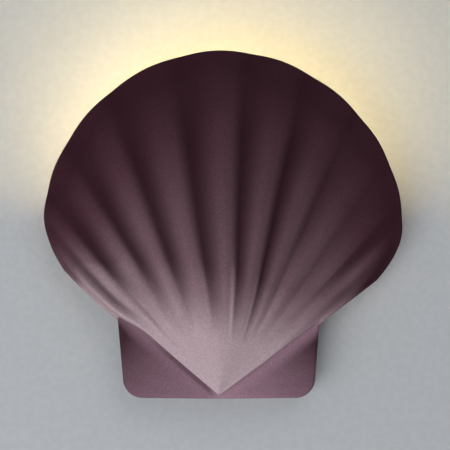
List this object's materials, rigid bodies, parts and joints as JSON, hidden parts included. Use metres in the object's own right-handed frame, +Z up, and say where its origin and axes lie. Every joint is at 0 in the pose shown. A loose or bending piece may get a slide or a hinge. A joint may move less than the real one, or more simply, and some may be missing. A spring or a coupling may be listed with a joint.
{
  "type": "outdoor wall light",
  "caption": "Outdoor wall light: ribbed scallop-shell cover in cast metal over a sealed back box, lit upwards and sideways from behind.",
  "frame": {"origin": "on the wall plane, midway between the two wall-screw slots of the back box", "axes": "+Z up, +Y into the wall, the shell faces -Y; +X to the right as seen from the front"},
  "size_m": [0.2385, 0.0699, 0.23],
  "materials": {
    "shell_paint": "satin plum paint with a fine texture",
    "cast_housing": "grey powder-coated casting",
    "black_rubber": "matte moulded rubber",
    "terminal_plastic": "matte moulded",
    "brass_fittings": "plain turned brass",
    "steel_screws": "plain stainless",
    "earth_insulation": "soft green and yellow insulation",
    "supply_insulation": "soft brown insulation",
    "driver_plastic": "matte moulded",
    "output_insulation": "soft red insulation",
    "grey_silicone": "soft silicone",
    "board_white": "white solder mask on aluminium",
    "warm_emitter": "phosphor, lit",
    "frosted_lens": "frosted",
    "zinc_steel": "zinc plated"
  },
  "bodies": {
    "root": {"shell_cover": "shell_paint", "back_box": "cast_housing", "wall_gasket": "black_rubber", "cable_grommet": "black_rubber", "terminal_block": "terminal_plastic", "terminal_screws": "brass_fittings", "terminal_fixings": "steel_screws", "earth_screw": "brass_fittings", "earth_washer": "steel_screws", "earth_lead": "earth_insulation", "supply_leads": "supply_insulation", "led_driver": "driver_plastic", "driver_screws": "steel_screws", "output_leads": "output_insulation", "lid_gasket": "grey_silicone", "lamp_head": "cast_housing", "lid_screws": "steel_screws", "heat_pad": "grey_silicone", "led_board": "board_white", "led_chips": "warm_emitter", "board_screws": "steel_screws", "lens_gasket": "grey_silicone", "lens": "frosted_lens", "lens_frame": "cast_housing", "lens_screws": "steel_screws", "breather_vent": "black_rubber", "hanger_bar": "zinc_steel", "hanger_screws": "steel_screws", "hanger_studs": "steel_screws", "shell_screws": "steel_screws"}
  },
  "joints": []
}
